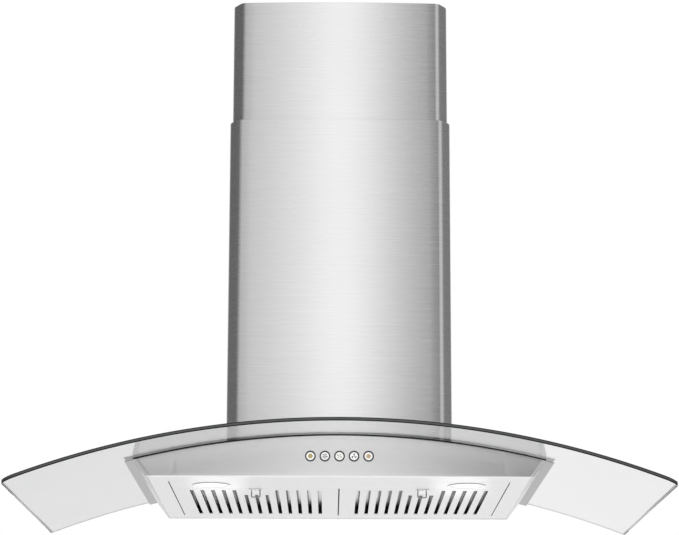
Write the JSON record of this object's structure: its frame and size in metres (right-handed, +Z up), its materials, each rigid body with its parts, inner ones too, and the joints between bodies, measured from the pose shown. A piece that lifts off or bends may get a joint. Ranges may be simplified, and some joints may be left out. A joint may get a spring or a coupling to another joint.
{
  "type": "island range hood",
  "caption": "Ceiling-hung range hood with a bent glass canopy, slim steel body, baffle filters, lamps, push buttons, blower and telescoping chimney.",
  "frame": {"origin": "under the middle of the glass canopy, level with its lowest edge", "axes": "+X to the right along the canopy's width, +Y to the rear, +Z up to the ceiling"},
  "size_m": [0.9, 0.6, 0.7445],
  "materials": {
    "canopy_glass": "clear tempered glass, bent",
    "seal_rubber": "matte black",
    "stainless": "brushed along its length",
    "chimney_steel": "brushed across",
    "filter_steel": "satin",
    "polished_trim": "polished",
    "galvanised": "galvanised sheet, satin",
    "black_plastic": "matte",
    "button_plastic": "gloss",
    "led_lens": "frosted, lit",
    "driver_plastic": "matte",
    "circuit_board": "satin solder mask",
    "bare_aluminium": "satin"
  },
  "bodies": {
    "hood": {"blower_box": "galvanised", "blower_housing": "black_plastic", "body_shell": "stainless", "bottom_frame": "stainless", "button_ring_fan_high": "black_plastic", "button_ring_fan_low": "black_plastic", "button_ring_fan_medium": "black_plastic", "button_ring_light": "black_plastic", "button_ring_power": "black_plastic", "cable_gland": "black_plastic", "ceiling_plate": "galvanised", "control_board": "circuit_board", "damper_shaft": "bare_aluminium", "duct_collar": "black_plastic", "front_panel": "stainless", "glass_canopy": "canopy_glass", "glass_gasket": "seal_rubber", "junction_box": "black_plastic", "lamp_bezel_left": "polished_trim", "lamp_bezel_right": "polished_trim", "lamp_housing_left": "bare_aluminium", "lamp_housing_right": "bare_aluminium", "lamp_lens_left": "led_lens", "lamp_lens_right": "led_lens", "lamp_panel": "stainless", "led_driver": "driver_plastic", "lower_post_front_left": "galvanised", "lower_post_front_right": "galvanised", "lower_post_rear_left": "galvanised", "lower_post_rear_right": "galvanised", "motor": "bare_aluminium", "motor_bracket": "galvanised", "neck": "galvanised", "switch_housing": "black_plastic", "top_plate": "stainless", "upper_post_front_left": "galvanised", "upper_post_front_right": "galvanised", "upper_post_rear_left": "galvanised", "upper_post_rear_right": "galvanised"},
    "lower_cover": {"lower_cover_front": "chimney_steel", "lower_cover_rear": "chimney_steel"},
    "upper_cover": {"upper_cover_front": "chimney_steel", "upper_cover_rear": "chimney_steel"},
    "filter_left": {"filter_left": "filter_steel", "filter_baffles_left": "filter_steel"},
    "filter_right": {"filter_right": "filter_steel", "filter_baffles_right": "filter_steel"},
    "latch_left": {"filter_latch_left": "filter_steel"},
    "latch_right": {"filter_latch_right": "filter_steel"},
    "fan_wheel": {"impeller": "black_plastic", "motor_shaft": "bare_aluminium"},
    "flap_front": {"damper_flap_front": "galvanised"},
    "flap_rear": {"damper_flap_rear": "galvanised"},
    "button_power": {"button_power": "button_plastic"},
    "button_fan_low": {"button_fan_low": "button_plastic"},
    "button_fan_medium": {"button_fan_medium": "button_plastic"},
    "button_fan_high": {"button_fan_high": "button_plastic"},
    "button_light": {"button_light": "button_plastic"}
  },
  "joints": [
    {"name": "lower_cover_lift", "type": "slide", "parent": "hood", "child": "lower_cover", "axis": [0, 0, 1], "range_m": [0, 0.17]},
    {"name": "upper_cover_drop", "type": "slide", "parent": "hood", "child": "upper_cover", "axis": [0, 0, -1], "range_m": [0, 0.17]},
    {"name": "filter_left_swing", "type": "hinge", "parent": "hood", "child": "filter_left", "pos_m": [-0.1195, 0.2614, 0.025], "axis": [1, 0, 0], "range_deg": [0, 70]},
    {"name": "filter_right_swing", "type": "hinge", "parent": "hood", "child": "filter_right", "pos_m": [0.1195, 0.2614, 0.025], "axis": [1, 0, 0], "range_deg": [0, 70]},
    {"name": "filter_left_latch", "type": "slide", "parent": "filter_left", "child": "latch_left", "axis": [0, 1, 0], "range_m": [0, 0.005], "stiffness_N_per_m": 400},
    {"name": "filter_right_latch", "type": "slide", "parent": "filter_right", "child": "latch_right", "axis": [0, 1, 0], "range_m": [0, 0.005], "stiffness_N_per_m": 400},
    {"name": "fan_spin", "type": "hinge", "parent": "hood", "child": "fan_wheel", "pos_m": [0, 0.0395, 0.19], "axis": [1, 0, 0], "continuous": true},
    {"name": "damper_front_swing", "type": "hinge", "parent": "hood", "child": "flap_front", "pos_m": [0, 0.0595, 0.328], "axis": [-1, 0, 0], "range_deg": [0, 70]},
    {"name": "damper_rear_swing", "type": "hinge", "parent": "hood", "child": "flap_rear", "pos_m": [0, 0.0595, 0.328], "axis": [1, 0, 0], "range_deg": [0, 70]},
    {"name": "button_power_press", "type": "slide", "parent": "hood", "child": "button_power", "axis": [0, 1, 0], "range_m": [0, 0.0025], "stiffness_N_per_m": 600},
    {"name": "button_fan_low_press", "type": "slide", "parent": "hood", "child": "button_fan_low", "axis": [0, 1, 0], "range_m": [0, 0.0025], "stiffness_N_per_m": 600},
    {"name": "button_fan_medium_press", "type": "slide", "parent": "hood", "child": "button_fan_medium", "axis": [0, 1, 0], "range_m": [0, 0.0025], "stiffness_N_per_m": 600},
    {"name": "button_fan_high_press", "type": "slide", "parent": "hood", "child": "button_fan_high", "axis": [0, 1, 0], "range_m": [0, 0.0025], "stiffness_N_per_m": 600},
    {"name": "button_light_press", "type": "slide", "parent": "hood", "child": "button_light", "axis": [0, 1, 0], "range_m": [0, 0.0025], "stiffness_N_per_m": 600}
  ]
}
